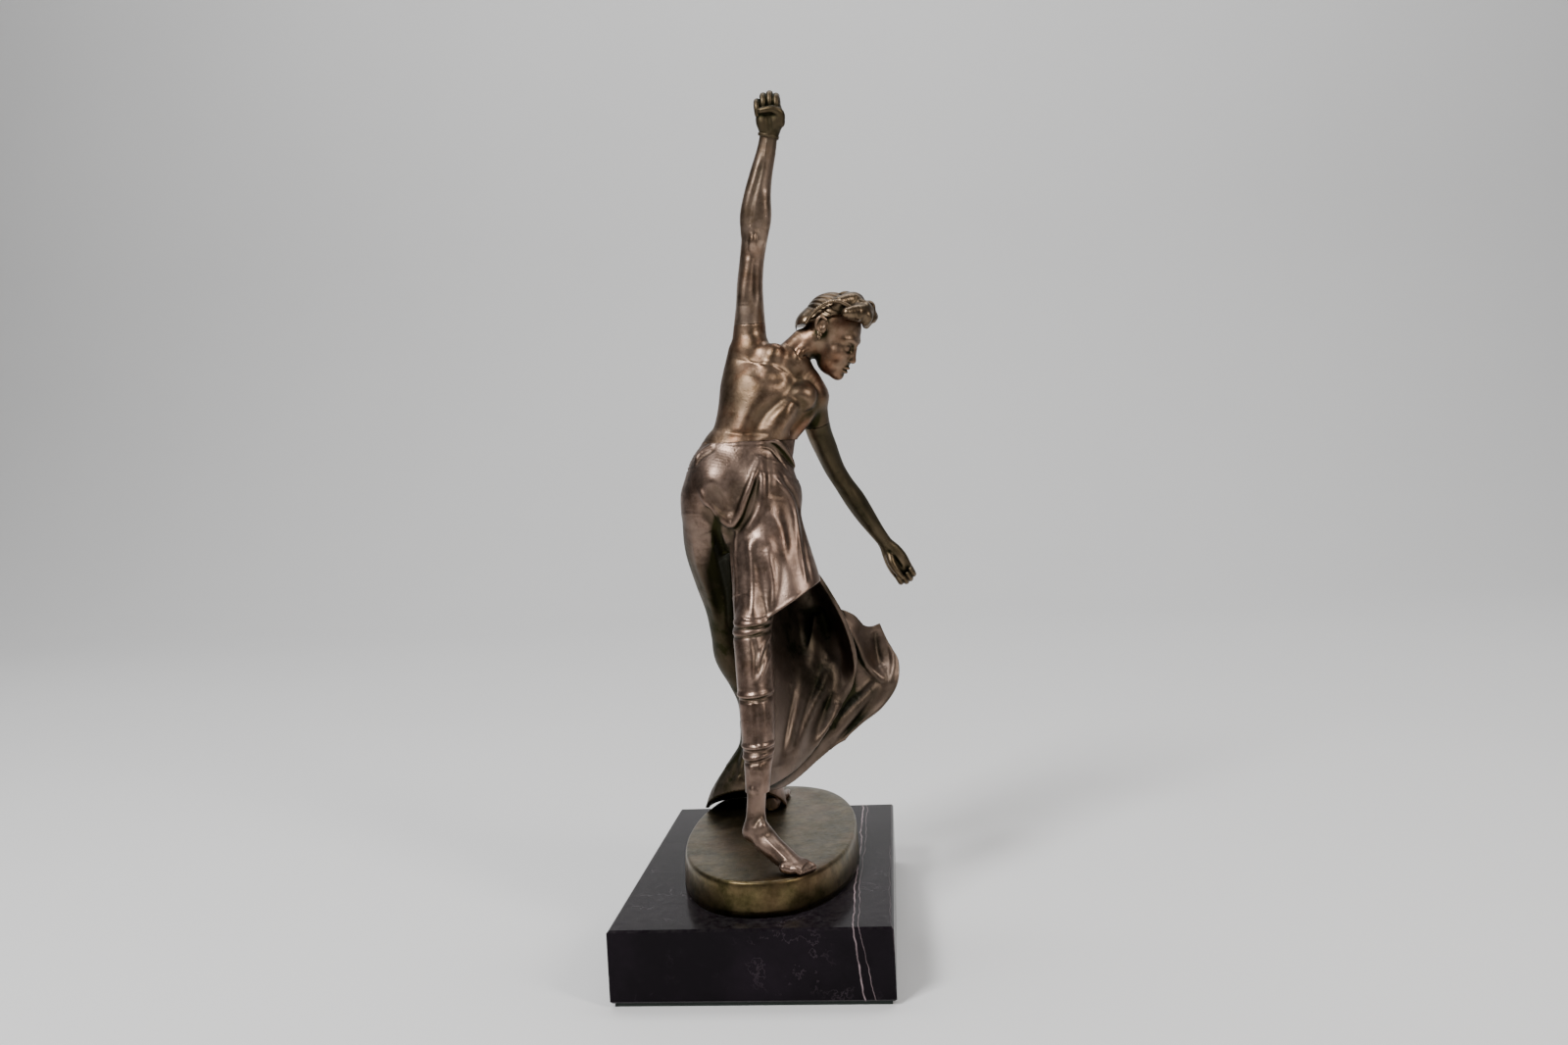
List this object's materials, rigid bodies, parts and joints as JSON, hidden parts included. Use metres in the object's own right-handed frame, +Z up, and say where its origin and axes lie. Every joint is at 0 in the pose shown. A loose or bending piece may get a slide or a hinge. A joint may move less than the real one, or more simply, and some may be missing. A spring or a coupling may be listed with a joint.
{
  "type": "statuette",
  "caption": "Bronze dancer statuette on an oval bronze terrace and a veined black marble plinth, one arm raised, skirt blown to one side; a decorative piece for a shelf or table",
  "frame": {"origin": "centre of the underside of the felt, on the surface the statuette stands on", "axes": "+Z up, the tallest direction; the dancer's body faces +Y, so -Y is her back; +X is towards her right hand, the side the drape blows to"},
  "size_m": [0.116, 0.152, 0.3383],
  "materials": {
    "marble": "polished black marble with thin white and pink veins",
    "felt": "dark felt",
    "terrace_bronze": "bronze with an olive brown patina and coppery rubs",
    "steel": "plain zinc-plated steel",
    "skirt_bronze": "bronze with a dark brown patina, rubbed bright on the folds",
    "skin_bronze": "bronze with a smooth brown patina and soft highlights",
    "dowel_brass": "plain brass"
  },
  "bodies": {
    "root": {"marble_plinth": "marble", "base_felt": "felt", "terrace": "terrace_bronze", "front_stud": "steel", "rear_stud": "steel", "front_washer": "steel", "rear_washer": "steel", "front_nut": "steel", "rear_nut": "steel", "hip_section": "skirt_bronze", "right_leg_section": "skirt_bronze", "left_leg_section": "skirt_bronze", "flying_drape": "skirt_bronze", "right_foot": "skin_bronze", "left_foot": "skin_bronze", "torso": "skin_bronze", "head": "skin_bronze", "left_arm": "skin_bronze", "left_hand": "skin_bronze", "right_arm": "skin_bronze", "right_hand": "skin_bronze", "waist_ring": "dowel_brass", "neck_dowel": "dowel_brass", "left_shoulder_dowel": "dowel_brass", "right_shoulder_dowel": "dowel_brass", "left_wrist_dowel": "dowel_brass", "right_wrist_dowel": "dowel_brass", "right_foot_dowel": "dowel_brass", "left_foot_dowel": "dowel_brass"}
  },
  "joints": []
}
